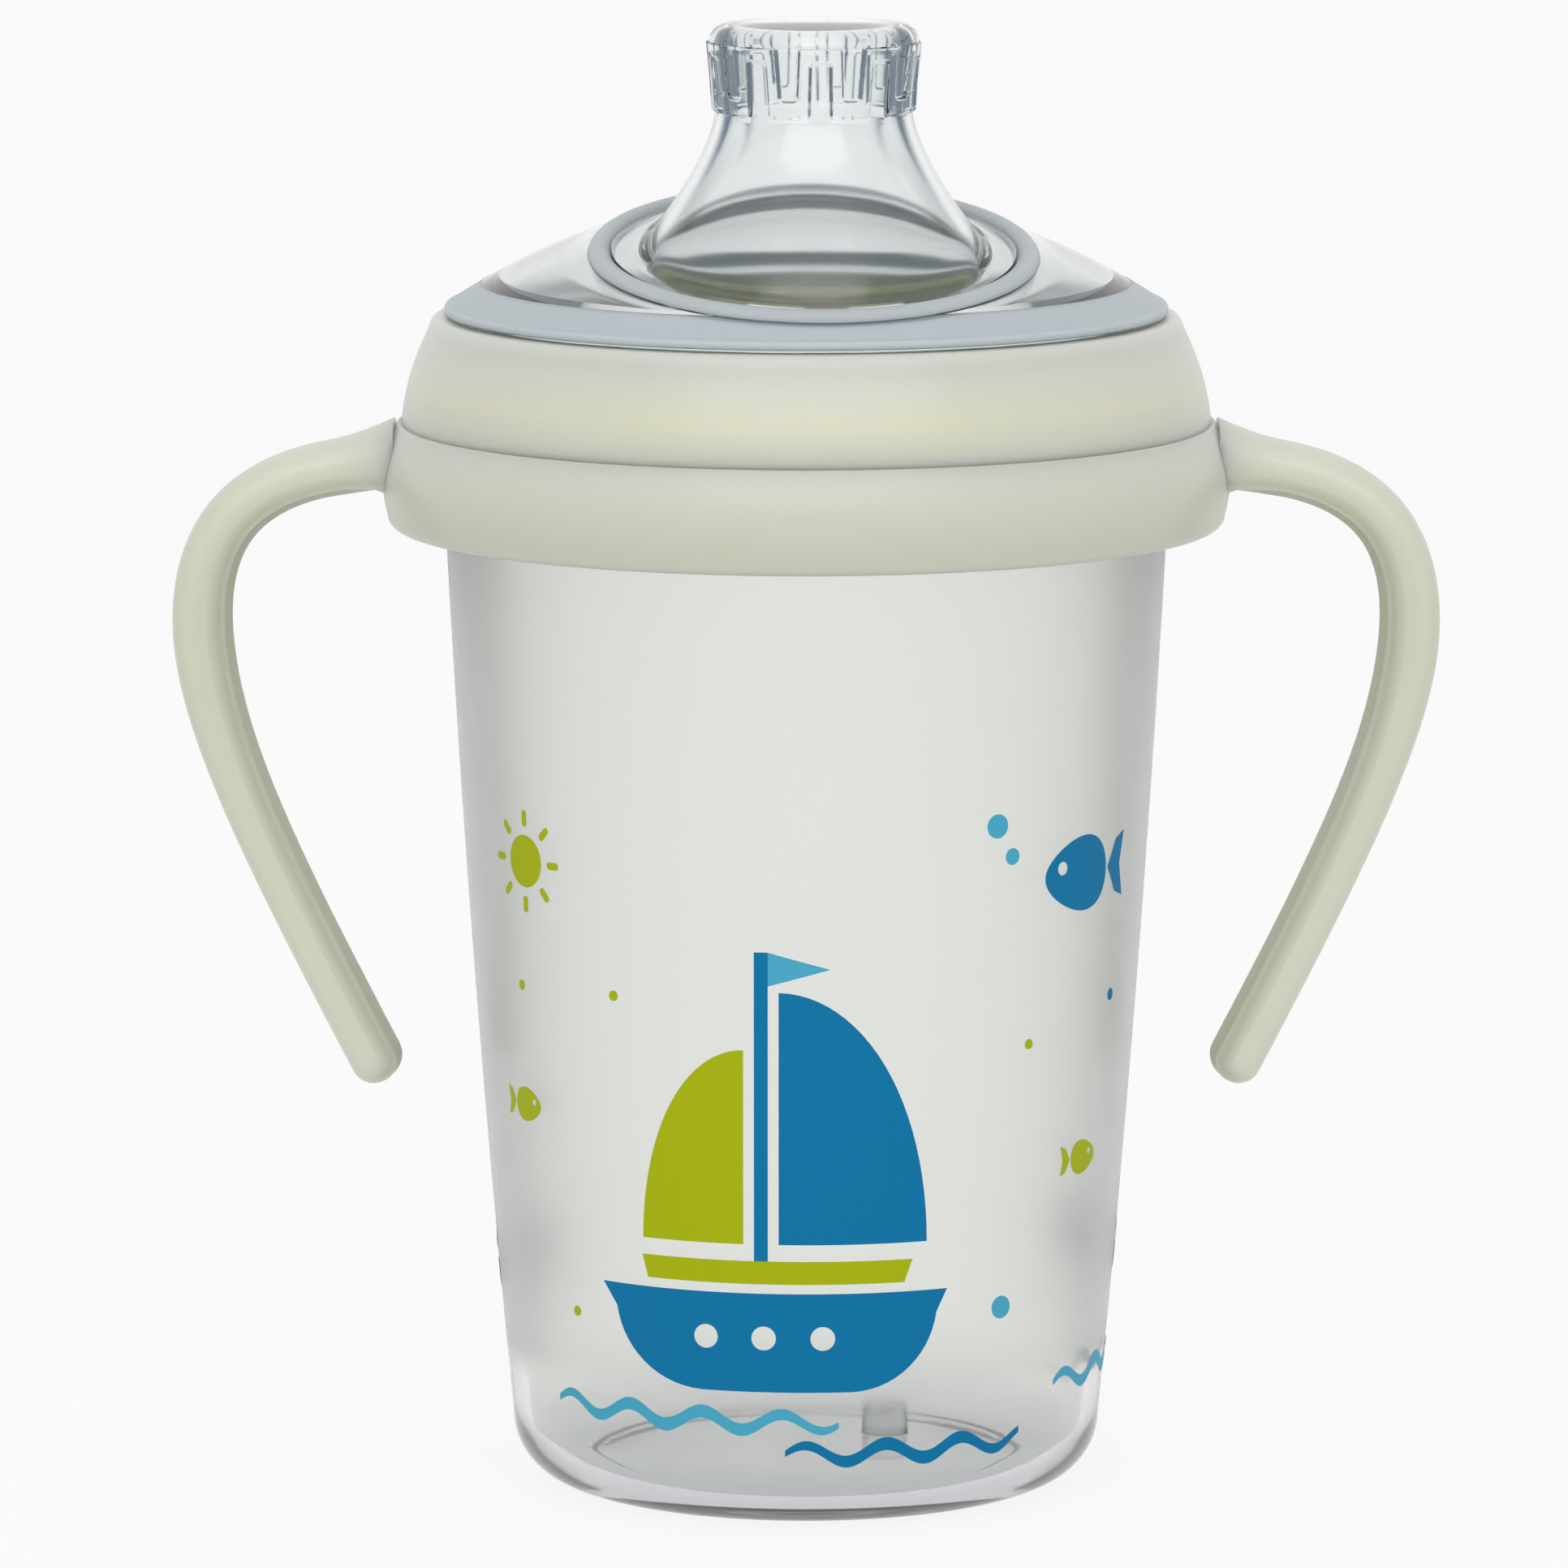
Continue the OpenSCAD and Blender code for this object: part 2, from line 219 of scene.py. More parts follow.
def colour_by_height(material, shader, stops):
    """Base colour that changes with height. Stops are (height in mm, colour)."""
    nodes, links = material.node_tree.nodes, material.node_tree.links
    low, high = stops[0][0], stops[-1][0]
    place = nodes.new("ShaderNodeTexCoord")
    split = nodes.new("ShaderNodeSeparateXYZ")
    spread = nodes.new("ShaderNodeMapRange")
    spread.inputs["From Min"].default_value = low * MM
    spread.inputs["From Max"].default_value = high * MM
    ramp = nodes.new("ShaderNodeValToRGB")
    ramp.color_ramp.interpolation = "EASE"
    elements = ramp.color_ramp.elements
    while len(elements) < len(stops):
        elements.new(0.5)
    for element, (height, colour) in zip(elements, stops):
        element.position = (height - low) / (high - low)
        element.color = srgb(colour)
    links.new(place.outputs["Object"], split.inputs["Vector"])
    links.new(split.outputs["Z"], spread.inputs["Value"])
    links.new(spread.outputs["Result"], ramp.inputs["Fac"])
    links.new(ramp.outputs["Color"], shader.inputs["Base Color"])


def absorb(material, colour, density):
    """Tints light by the length of plastic it crosses. Density is per metre."""
    nodes, links = material.node_tree.nodes, material.node_tree.links
    volume = nodes.new("ShaderNodeVolumeAbsorption")
    volume.inputs["Color"].default_value = srgb(colour)
    volume.inputs["Density"].default_value = density
    links.new(volume.outputs["Volume"], nodes["Material Output"].inputs["Volume"])


def roughness_by_height(material, shader, low, high, smooth, frosted):
    """Smooth below the height low, frosted above the height high, both in mm."""
    nodes, links = material.node_tree.nodes, material.node_tree.links
    place = nodes.new("ShaderNodeTexCoord")
    split = nodes.new("ShaderNodeSeparateXYZ")
    spread = nodes.new("ShaderNodeMapRange")
    spread.interpolation_type = "SMOOTHSTEP"
    ends = {"From Min": low * MM, "From Max": high * MM, "To Min": smooth, "To Max": frosted}
    for label, value in ends.items():
        spread.inputs[label].default_value = value
    links.new(place.outputs["Object"], split.inputs["Vector"])
    links.new(split.outputs["Z"], spread.inputs["Value"])
    links.new(spread.outputs["Result"], shader.inputs["Roughness"])


def clear_plastic():
    """The beaker: clear, frosted on the wall, with painted shade that makes its colour a little greyer
    towards the foot.
    """
    material, shader = principled(
        "clear_polypropylene", "#F5F6F3", 0.10, Transmission_Weight=1.0, IOR=1.28, Sheen_Weight=0.45)
    # Painted shade: the base colour greys towards the foot, standing in for the shadowed floor seen through
    # the base.
    colour_by_height(
        material, shader, [(0.0, "#D2D4D9"), (3.0, "#DFE0E1"), (6.0, "#ECEDEB"), (12.0, "#F5F6F3")])
    roughness_by_height(material, shader, 10.0, 15.0, 0.05, 0.30)
    absorb(material, "#A3A59F", 3.0)
    return material


def silicone():
    material, shader = principled("clear_silicone", "#F7F9F9", 0.04, Transmission_Weight=1.0, IOR=1.41)
    noise = add_noise(material, 90.0)
    vary_roughness(material, shader, noise, 0.05, 0.09)
    absorb(material, "#A3B4BE", 16.0)
    return material


def satin_silicone():
    """The frosted bands of the spout."""
    material, shader = principled(
        "satin_silicone", "#D8E3EA", 0.5, Transmission_Weight=0.2, Subsurface_Weight=0.9,
        Subsurface_Scale=0.0015, IOR=1.41)
    shader.inputs["Subsurface Radius"].default_value = (1.0, 1.0, 1.0)
    noise = add_noise(material, 700.0)
    add_bump(material, shader, noise, 0.00002, 0.3)
    return material


def translucent_plastic(name, stops, roughness, clear, depth):
    """Plastic that light enters to about this depth in mm. The share clear of it passes straight through."""
    material, shader = principled(
        name, stops[0][1], roughness, Subsurface_Weight=1.0, Subsurface_Scale=depth * MM,
        Transmission_Weight=clear, IOR=1.49)
    shader.inputs["Subsurface Radius"].default_value = (1.0, 1.0, 0.8)
    colour_by_height(material, shader, stops)
    noise = add_noise(material, 900.0)
    add_bump(material, shader, noise, 0.00002, 0.35)
    return material


def ink(name, colour):
    """Matte printing ink."""
    material, shader = principled(name, colour, 0.5, Specular_IOR_Level=0.15)
    noise = add_noise(material, 2500.0)
    add_bump(material, shader, noise, 0.00001, 0.3)
    return material


BEAKER_MATERIAL = clear_plastic()
SILICONE_MATERIAL = silicone()
SATIN_MATERIAL = satin_silicone()
# Painted light: the colour runs in bands with height, with painted shade where the screw threads lie behind
# the wall, and a painted highlight that makes the upper face lightest at the top.
COLLAR_MATERIAL = translucent_plastic(
    "collar_plastic",
    [(COLLAR_Z, "#E7EAD3"), (COLLAR_Z + 1.2, "#E3E8D2"), (COLLAR_Z + 2.4, "#E5E9D3"),
     (COLLAR_Z + 3.9, "#EDECD3"), (COLLAR_Z + 5.4, "#EAEDD6"), (COLLAR_Z + 7.0, "#EAEFDA"),
     (PLATE_TOP_Z - 1.5, "#F2F4DC")],
    0.30, 0.10, 4.0)
# Painted light: lighter towards the handles' lower ends, a painted highlight along the ring's top, and
# painted shade at the ring's lower edge.
RING_MATERIAL = translucent_plastic(
    "ring_plastic",
    [(SKIRT_Z - 60, "#E1E4D0"), (SKIRT_Z, "#DBDDC8"), (RING_TOP_Z, "#E1E3D3")],
    0.34, 0.05, 5.0)
PRINT_INKS = {
    "blue": ink("ink_blue", "#0079AB"),
    "lime": ink("ink_lime", "#B0BB02"),
    "aqua": ink("ink_aqua", "#4CAFCD")}


# ---- Beaker ----

FOOT_R = 27.9
CORNER_R = 6.0
BELLY = 0.55
WALL = 1.6
FLOOR_Z = 2.0
FOOT_RECESS = 0.6
INNER_CORNER_R = CORNER_R - 1.2
BOSS_TURN = math.radians(39)
BOSS_OFFSET = 9.8
NECK_R = 33.0
NECK_H = 9.3
THREAD_ROOM = 1.3
LEDGE_T = 1.6
LEDGE_Z = BEAKER_H - NECK_H
WALL_TOP_Z = LEDGE_Z - LEDGE_T
SHOULDER_R = NECK_R + THREAD_ROOM
SEGMENTS = 192


def wall_radius(z):
    """Outer radius of the bowed wall at height z."""
    t = (z - CORNER_R) / (WALL_TOP_Z - CORNER_R)
    return FOOT_R + (SHOULDER_R - FOOT_R) * t + 4 * BELLY * t * (1 - t)


def beaker_profile():
    foot_flat = FOOT_R - CORNER_R - 1.0
    heights = [mix(CORNER_R, WALL_TOP_Z, i / 24) for i in range(25)]
    outer = [(foot_flat, 0.0)]
    outer += arc(FOOT_R - CORNER_R, CORNER_R, CORNER_R, -90, -6, 14)
    outer += [(wall_radius(z), z) for z in heights]
    outer += arc(LEDGE_R - 0.6, WALL_TOP_Z + 0.6, 0.6, -70, 0, 3)
    outer += arc(LEDGE_R - 0.3, LEDGE_Z - 0.3, 0.3, 0, 90, 3)
    outer += [(NECK_R, LEDGE_Z)]
    outer += arc(NECK_R - 0.5, BEAKER_H - 0.5, 0.5, 0, 90, 4)
    inner = arc(NECK_R - WALL + 0.5, BEAKER_H - 0.5, 0.5, 90, 180, 4)
    inner += [(NECK_R - WALL, LEDGE_Z + 1.0)]
    inner += [(wall_radius(z) - WALL, z) for z in reversed(heights) if z > FLOOR_Z + INNER_CORNER_R + 1]
    inner += arc(FOOT_R - WALL - INNER_CORNER_R, FLOOR_Z + INNER_CORNER_R, INNER_CORNER_R, 0, -90, 12)
    inner += [(18.0, FLOOR_Z + 0.15), (12.0, FLOOR_Z + 0.4), (6.0, FLOOR_Z + 0.55), (0.0, FLOOR_Z + 0.6)]
    under = [(0.0, FOOT_RECESS + 0.6), (8.0, FOOT_RECESS + 0.5), (16.0, FOOT_RECESS + 0.15)]
    under += arc(foot_flat - 0.9, FOOT_RECESS - 0.4, 0.4, 90, 10, 4)
    return outer + inner + under


def build_beaker():
    points, faces = lathe(beaker_profile(), SEGMENTS)
    piece = new_piece("beaker_shell", points, faces, BEAKER_MATERIAL, "beaker")
    outward(piece)
    sharpen(piece, 40)
    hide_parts("beaker")


build_beaker()


def floor_boss():
    """The small moulded boss on the floor, off the middle."""
    profile = [(0.0, -0.2), (2.3, -0.2), (2.2, 0.4)] + arc(1.65, 2.7, 0.4, 0, 90, 4)
    profile += arc(0.95, 2.85, 0.25, 90, 180, 3) + [(0.6, 2.6), (0.0, 2.5)]
    points, faces = lathe(profile, 48)
    place = Vector(on_circle(BOSS_OFFSET, BOSS_TURN, FLOOR_Z + 0.5))
    points = [place + Vector(p) for p in points]
    piece = new_piece("floor_boss", points, faces, BEAKER_MATERIAL, "beaker")
    outward(piece)
    sharpen(piece, 40)


floor_boss()


# ---- Print on the beaker: a sailing boat at sea. (u, v) is millimetres round the wall and height ----

PRINT_LIFT = 0.06
STRIP_W = 1.5


def disc(u, v, ru, rv=None, start=0, end=360, steps=40):
    """An ellipse, or a slice of one."""
    rv = rv or ru
    whole = end - start == 360
    angles = [math.radians(mix(start, end, i / steps)) for i in range(steps + (0 if whole else 1))]
    return [(u + ru * math.cos(a), v + rv * math.sin(a)) for a in angles]


def ribbon(u0, u1, v, swing, wave, thick, steps=64):
    """A wavy band that thins out to its ends."""
    top, bottom = [], []
    for i in range(steps + 1):
        t = i / steps
        u = mix(u0, u1, t)
        middle = v + swing * math.sin(TAU * (u - u0) / wave)
        half = thick / 2 * math.sin(math.pi * min(1.0, max(0.0, 0.04 + 0.92 * t))) ** 0.35
        top.append((u, middle + half))
        bottom.append((u, middle - half))
    return top + bottom[::-1]


def bar(u, v, angle, inner, outer, half):
    """A rounded ray that points away from (u, v)."""
    c, s = math.cos(angle), math.sin(angle)
    outline = disc(outer - half, 0, half, start=-90, end=90, steps=10)
    outline += disc(inner + half, 0, half, start=90, end=270, steps=10)
    return [(u + x * c - y * s, v + x * s + y * c) for x, y in outline]


def fish(u, v, length, way, ink_name):
    """A fish with an eye and a tail. It swims towards +u where way is 1."""
    half, tall = length * 0.36, length * 0.27
    body = [(half * math.cos(a), tall * math.sin(a) * (1 - 0.25 * math.cos(a)))
            for a in [TAU * i / 40 for i in range(40)]]
    eye = disc(half * 0.5, tall * 0.22, length * 0.05, steps=20)
    tail = [(-half * 1.06, 0.0), (-half * 1.4, tall * 0.72), (-half * 1.78, tall * 0.9),
            (-half * 1.6, 0.0), (-half * 1.78, -tall * 0.9), (-half * 1.4, -tall * 0.72)]
    return [(ink_name, [[(u + way * x, v + y) for x, y in loop] for loop in part])
            for part in ([body, eye], [tail])]


def boat(u, v):
    """A sailing boat whose keel stands at height v, as (ink, outline and holes)."""
    hull = [(u - 16.5, v + 9.5), (u + 17.5, v + 9.5)] + disc(u + 8.0, v + 8.5, 8.5, 8.5, -8, -88, 14)
    hull += disc(u - 5.5, v + 8.5, 9.5, 8.5, -92, -172, 14)
    windows = [disc(u + x, v + 5.2, 1.15, steps=24) for x in (-5.5, 0.0, 5.5)]
    deck = [(u - 12.0, v + 12.6), (u + 14.0, v + 12.6), (u + 13.2, v + 10.4), (u - 11.4, v + 10.4)]
    mast = [(u - 0.9, v + 12.6), (u + 0.4, v + 12.6), (u + 0.4, v + 42.0), (u - 0.9, v + 42.0)]
    main_sail = [(u + 1.4, v + 14.2)] + disc(u + 1.4, v + 14.2, 14.0, 24.0, 0, 90, 24)
    fore_sail = [(u - 1.9, v + 14.2)] + disc(u - 1.9, v + 14.2, 10.0, 18.5, 90, 180, 24)
    pennant = [(u + 0.4, v + 42.0), (u + 0.4, v + 38.8), (u + 6.2, v + 40.4)]
    return [("blue", [hull] + windows), ("lime", [deck]), ("blue", [mast]), ("blue", [main_sail]),
            ("lime", [fore_sail]), ("aqua", [pennant])]


def print_shapes():
    """Ink name, and the outline and holes, of every printed shape."""
    shapes = boat(-4.0, 13.5)
    for u0, u1, v, ink_name in ((-27, 3, 10.6, "aqua"), (-2, 22, 7.6, "blue"), (27, 47, 12.0, "aqua")):
        shapes.append((ink_name, [ribbon(u0, u1, v, 0.8, 7.6, 1.3)]))
    sun = (-30.5, 62.0)
    shapes.append(("lime", [disc(*sun, 2.5)]))
    shapes += [("lime", [bar(*sun, TAU * i / 8, 3.3, 4.9, 0.36)]) for i in range(8)]
    for u, v, length, way, ink_name in ((29.0, 61.0, 13.0, -1, "blue"), (31.0, 33.5, 6.0, 1, "lime"),
                                        (-31.0, 38.5, 6.0, 1, "lime"), (49.5, 22.0, 14.0, -1, "blue"),
                                        (-48.5, 20.5, 13.0, 1, "blue")):
        shapes += fish(u, v, length, way, ink_name)
    for u, v, r, ink_name in ((20.3, 63.6, 0.8, "aqua"), (18.6, 66.6, 1.15, "aqua"),
                              (22.5, 45.5, 0.5, "lime"), (-31.5, 50.0, 0.5, "lime"),
                              (-19.0, 50.5, 0.5, "lime"), (35.5, 48.5, 0.6, "blue"),
                              (19.5, 20.5, 1.1, "aqua"), (-24.0, 19.5, 0.5, "lime")):
        shapes.append((ink_name, [disc(u, v, r, steps=24)]))
    return shapes


def wrap(u, v):
    """The place on the beaker's wall of a point of the print."""
    angle = u / wall_radius(v) - math.pi / 2
    return Vector(on_circle(wall_radius(v) + PRINT_LIFT, angle, v))


def build_prints():
    """Cuts every outline into narrow upright strips and wraps them round the wall."""
    meshes = {name: bmesh.new() for name in PRINT_INKS}
    for name, loops in print_shapes():
        flat = bmesh.new()
        flat_loops = [[Vector((u, v, 0)) for u, v in loop] for loop in loops]
        corners = [flat.verts.new(point) for loop in flat_loops for point in loop]
        for triangle in tessellate_polygon(flat_loops):
            flat.faces.new([corners[i] for i in triangle])
        low, high = min(u for u, _ in loops[0]), max(u for u, _ in loops[0])
        for i in range(math.ceil(low / STRIP_W), math.floor(high / STRIP_W) + 1):
            everything = flat.verts[:] + flat.edges[:] + flat.faces[:]
            bmesh.ops.bisect_plane(flat, geom=everything, plane_co=(i * STRIP_W, 0, 0), plane_no=(1, 0, 0))
        target = meshes[name]
        lookup = {vert: target.verts.new(wrap(vert.co.x, vert.co.y) * MM) for vert in flat.verts}
        for face in flat.faces:
            target.faces.new([lookup[vert] for vert in face.verts])
        flat.free()
    for name, mesh in meshes.items():
        bmesh.ops.recalc_face_normals(mesh, faces=mesh.faces)
        data = bpy.data.meshes.new("print_" + name)
        mesh.to_mesh(data)
        mesh.free()
        data.materials.append(PRINT_INKS[name])
        piece = bpy.data.objects.new("print_" + name, data)
        bpy.context.scene.collection.objects.link(piece)
        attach(piece, "beaker")


build_prints()


# ---- Screw threads ----

LEAD = 5.0
THREAD_Z = COLLAR_Z + 1.05
THREAD_START = math.radians(-60)
THREAD_TURNS = 0.8
THREAD_BASE = 1.9
THREAD_CREST = 0.7
THREAD_TAPER = 0.12
COLLAR_THREAD_H = 1.1


def helix(phase, radius, height, outward_sign, steps=180):
    """A screw ridge. It stands on a wall of this radius, and runs out smoothly at both ends."""
    rings = []
    for i in range(steps + 1):
        turn = i / steps * THREAD_TURNS
        grow = smoothstep(0, THREAD_TAPER, turn) * smoothstep(0, THREAD_TAPER, THREAD_TURNS - turn)
        z = THREAD_Z + LEAD * turn
        foot = radius - outward_sign * 0.15
        top = radius + outward_sign * (height * grow - 0.1 * (1 - grow))
        angle = TAU * turn + phase
        section = [(foot, z - THREAD_BASE / 2), (top, z - THREAD_CREST / 2),
                   (top, z + THREAD_CREST / 2), (foot, z + THREAD_BASE / 2)]
        rings.append([on_circle(r, angle, h) for r, h in section])
    return loft(rings)


def build_neck_thread():
    points, faces = helix(THREAD_START + math.pi, NECK_R, THREAD_ROOM - 0.1, 1)
    piece = new_piece("neck_thread", points, faces, BEAKER_MATERIAL, "beaker")
    outward(piece)
    sharpen(piece, 25)


build_neck_thread()


# ---- Screw collar ----

COLLAR_BORE_R = 34.7
OPENING_R = 30.0
PLATE_T = 1.6
COLLAR_TOP_R = 35.4
COLLAR_EDGE_R = 0.9
COLLAR_FOOT_R = 0.05
COLLAR_SEAT = 0.07


def collar_profile():
    foot_z = COLLAR_Z - COLLAR_SEAT
    face_low, face_high = foot_z + COLLAR_FOOT_R, PLATE_TOP_Z - COLLAR_EDGE_R
    flare = COLLAR_R - COLLAR_TOP_R
    face = []
    for i in range(1, 20):
        t = i / 20
        face.append((COLLAR_TOP_R + flare * (1 - t ** 1.7), mix(face_low, face_high, t)))
    outer = [(COLLAR_BORE_R + 0.5, foot_z)]
    outer += arc(COLLAR_R - COLLAR_FOOT_R, face_low, COLLAR_FOOT_R, -90, 0, 4)
    outer += face
    outer += arc(COLLAR_TOP_R - COLLAR_EDGE_R, face_high, COLLAR_EDGE_R, 25, 90, 6)
    bore = [(OPENING_R, PLATE_TOP_Z), (OPENING_R, PLATE_TOP_Z - PLATE_T),
            (COLLAR_BORE_R, PLATE_TOP_Z - PLATE_T), (COLLAR_BORE_R, COLLAR_Z + 0.5)]
    return outer + bore


def build_collar():
    points, faces = lathe(collar_profile(), SEGMENTS)
    piece = new_piece("collar_shell", points, faces, COLLAR_MATERIAL, "screw_collar")
    outward(piece)
    sharpen(piece, 35)
    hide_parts("screw_collar")


def build_collar_thread():
    points, faces = helix(THREAD_START, COLLAR_BORE_R, COLLAR_THREAD_H, -1)
    piece = new_piece("collar_thread", points, faces, COLLAR_MATERIAL, "screw_collar")
    outward(piece)
    sharpen(piece, 25)


build_collar()
build_collar_thread()


# ---- Handle ring ----
WEB_BORE_R = 34.6
RING_EDGE_R = 39.5
RING_TOP_R = 38.6
RING_SWELL = 0.83
SKIRT_WALL = 1.7
HANDLE_W = 4.65
HANDLE_D = 8.6
HANDLE_L = 72.8
ROOT_L = 5.6
ROOT_X = RING_EDGE_R - 0.9
ROOT_Z = SKIRT_Z + 6.0
ROOT_HEADING = math.radians(4.5)
ROOT_STRAIGHT = 0.3
TURN_RATE = math.radians(5.28)
TURN_GROW = 16.3
TURN_FADE = 11.3
FADE_START = ROOT_STRAIGHT + TURN_GROW + 2.0


def ring_profile():
    edge, top_edge = 1.1, 0.15
    low, high = SKIRT_Z + edge, RING_TOP_Z - top_edge
    face = []
    for i in range(1, 20):
        t = i / 20
        r = mix(RING_EDGE_R, RING_TOP_R, t) + 4 * RING_SWELL * t * (1 - t)
        face.append((r, mix(low, high, t)))
    bore_r = RING_EDGE_R - SKIRT_WALL
    outer = arc(RING_EDGE_R - edge, low, edge, -90, 0, 6) + face
    outer += arc(RING_TOP_R - top_edge, high, top_edge, 0, 90, 6)
    inner = [(WEB_BORE_R, RING_TOP_Z), (WEB_BORE_R, LEDGE_Z), (bore_r - 0.5, LEDGE_Z),
             (bore_r, LEDGE_Z - 0.5), (bore_r + 0.1, SKIRT_Z + 0.3), (bore_r + 0.4, SKIRT_Z)]
    return outer + inner


def turn_rate(d):
    """How fast the handle turns, per millimetre, at the distance d from its root."""
    if d < FADE_START:
        return TURN_RATE * min(1.0, max(0.0, d - ROOT_STRAIGHT) / TURN_GROW)
    return TURN_RATE * math.exp((FADE_START - d) / TURN_FADE)


def handle_width(d):
    bulge = 0.4 * math.exp(-((d - 29) / 9) ** 2)
    return HANDLE_W + bulge + 0.3 * (1 - smoothstep(30, 60, d)) + 0.4 * (1 - smoothstep(0, 8, d))


def handle_middle_line():
    """Rows (x, z, heading, width, share of the root, share of the round end) along the right handle."""
    x, z, heading = ROOT_X, ROOT_Z, ROOT_HEADING
    steps = 96
    step = HANDLE_L / steps
    line = []
    for i in range(steps + 1):
        d = i * step
        line.append((x, z, heading, handle_width(d), max(0.0, 1 - d / ROOT_L), 0.0))
        turn = turn_rate(d + step / 2) * step
        x += step * math.cos(heading + turn / 2)
        z -= step * math.sin(heading + turn / 2)
        heading += turn
    x, z, heading, width = line[-1][:4]
    for i in range(1, 10):
        a = math.radians(86) * i / 9
        d = width / 2 * math.sin(a)
        line.append((x + d * math.cos(heading), z - d * math.sin(heading), heading, width, 0.0, a))
    return line


def handle_section(x, z, heading, width, root, end, side):
    """Rounded-box section. The rear half stands in a little further than the front one, along the
    mould's parting line."""
    close = math.cos(end)
    ring = []
    count = 56
    for k in range(count):
        a = TAU * (k + 0.5) / count
        c, s = math.cos(a), math.sin(a)
        u = math.copysign(abs(c) ** 0.72, c)
        v = math.copysign(abs(s) ** 0.78, s)
        rise = 1.2 * root ** 1.6 if u > 0 else 1.3 * max(0.0, root - 0.6) ** 1.5 * 4
        half_w = (width / 2 + rise) * close
        half_d = (HANDLE_D + 6 * root ** 2.2) / 2 * close
        inner_step = 0.32 * close * smoothstep(0.2, 0.5, -u) * (1 - root)
        shift = inner_step if v < 0 else -inner_step
        du = u * half_w + shift
        ring.append((side * (x + du * math.sin(heading)), v * half_d, z + du * math.cos(heading)))
    return ring


def build_handle(name, side):
    rings = [handle_section(*row, side) for row in handle_middle_line()]
    points, faces = loft(rings)
    piece = new_piece(name, points, faces, RING_MATERIAL, "handle_ring")
    outward(piece)
    sharpen(piece, 50)


def build_ring():
    points, faces = lathe(ring_profile(), SEGMENTS)
    piece = new_piece("ring_shell", points, faces, RING_MATERIAL, "handle_ring")
    outward(piece)
    sharpen(piece, 35)
    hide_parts("handle_ring")


build_ring()
build_handle("handle_right", 1)
build_handle("handle_left", -1)


# ---- Spout ----

SPOUT_OFFSET = 11.0
SPOUT_TURN = math.radians(3.5)
WAIST_R = 9.2
LIP_OUT = 0.55
LIP_ROUND = 1.5
LIP_Z = TIP_Z - 0.35
CROWN_H = 8.4
WAIST_Z = TIP_Z - CROWN_H
SPOUT_WALL = 1.5
MEMBRANE_T = 0.9
KNEE_D = 11.5
KNEE_OUT = 6.2
FLARE_POWER = 1.5
KNEE_SLOPE = FLARE_POWER * KNEE_OUT / KNEE_D
TURN_DOWN = 0.05
DOME_WALL = 1.7
DOME_R = 34.0
DOME_Z = PLATE_TOP_Z + 0.1
FLANK_Z = DOME_Z + 1.0
FLANK_R = DOME_R - 0.4
DOME_ARC_R = 60.0
DOME_CENTRE_Z = FLANK_Z - math.sqrt(DOME_ARC_R ** 2 - FLANK_R ** 2)
GROOVE_R = 29.9
FLANGE_R = 34.2
FLANGE_T = 1.7
HOLLOW_R = GROOVE_R - DOME_WALL
BEAD_R = 1.05
BEAD_RING_R = 20.0
BEAD_RISE = math.sqrt(DOME_ARC_R ** 2 - BEAD_RING_R ** 2 - SPOUT_OFFSET ** 2)
BEAD_TILT = math.atan(SPOUT_OFFSET / BEAD_RISE)
BEAD_Z = DOME_CENTRE_Z + BEAD_RISE - 0.3
RIDGE_WAVES = 10
RIDGE_H = 0.32
RIDGE_BEVEL = 0.3
RIDGE_RISE = 6.3
SLOT_CORNER = 0.4
CROWN_COLUMNS = 720
SPOUT_COLUMNS = 240
FLARE_TOP_R = 12.6
VALLEY_R = BEAD_RING_R - BEAD_R - 0.1


def dome_height(r, inset=0.0):
    """Height of the dome's outer face at distance r from the cup's axis, or of a face inset under it."""
    return DOME_CENTRE_Z + math.sqrt((DOME_ARC_R - inset) ** 2 - r ** 2)


def flare_radius(d):
    if d < KNEE_D:
        return WAIST_R + KNEE_OUT * (d / KNEE_D) ** FLARE_POWER
    return WAIST_R + KNEE_OUT + KNEE_SLOPE * (d - KNEE_D) - TURN_DOWN * (d - KNEE_D) ** 2


def flare_depth(r):
    """Depth under the waist at which the flare reaches radius r."""
    low, high = 0.0, 18.5
    for _ in range(40):
        middle = (low + high) / 2
        low, high = (middle, high) if flare_radius(middle) < r else (low, middle)
    return low


def from_spout_axis(r, angle):
    return r * math.cos(angle), r * math.sin(angle) - SPOUT_OFFSET


def crown_radius(t):
    """Radius of the crown between its ridges. t is 0 at the waist and 1 under the lip's rounding."""
    return WAIST_R + LIP_OUT * t ** 1.3


def slot_distance(s, z, half_mouth, half_end, length):
    """How far a point lies outside a tapered slot with rounded inner corners. The slot runs from
    z = 0, its mouth, to z = length."""
    half = mix(half_mouth, half_end, min(1.0, max(0.0, z / length)))
    a, b = abs(s) - half + SLOT_CORNER, z - length + SLOT_CORNER
    return math.hypot(max(a, 0.0), max(b, 0.0)) + min(max(a, b), 0.0) - SLOT_CORNER


def ridge_height(angle, z):
    """Height of the serpentine gum ridge over the crown at this angle and height."""
    pitch = TAU / RIDGE_WAVES
    along = (angle + math.pi / 2 + pitch / 2) % pitch - pitch / 2
    across = (angle + math.pi / 2) % pitch - pitch / 2
    low, high = WAIST_Z, WAIST_Z + RIDGE_RISE
    foot_slot = slot_distance(along * (WAIST_R + 0.3), z - low, 1.05, 0.9, 5.2)
    head_slot = slot_distance(across * (WAIST_R + 0.5), high - z, 1.1, 0.85, 4.7)
    edge = smoothstep(-RIDGE_BEVEL / 2, RIDGE_BEVEL / 2, min(foot_slot, head_slot))
    foot = smoothstep(low - 0.05, low + 0.25, z)
    upper = smoothstep(high, high + 1.2, z)
    return RIDGE_H * (max(edge * foot, upper) - 0.3 * upper)


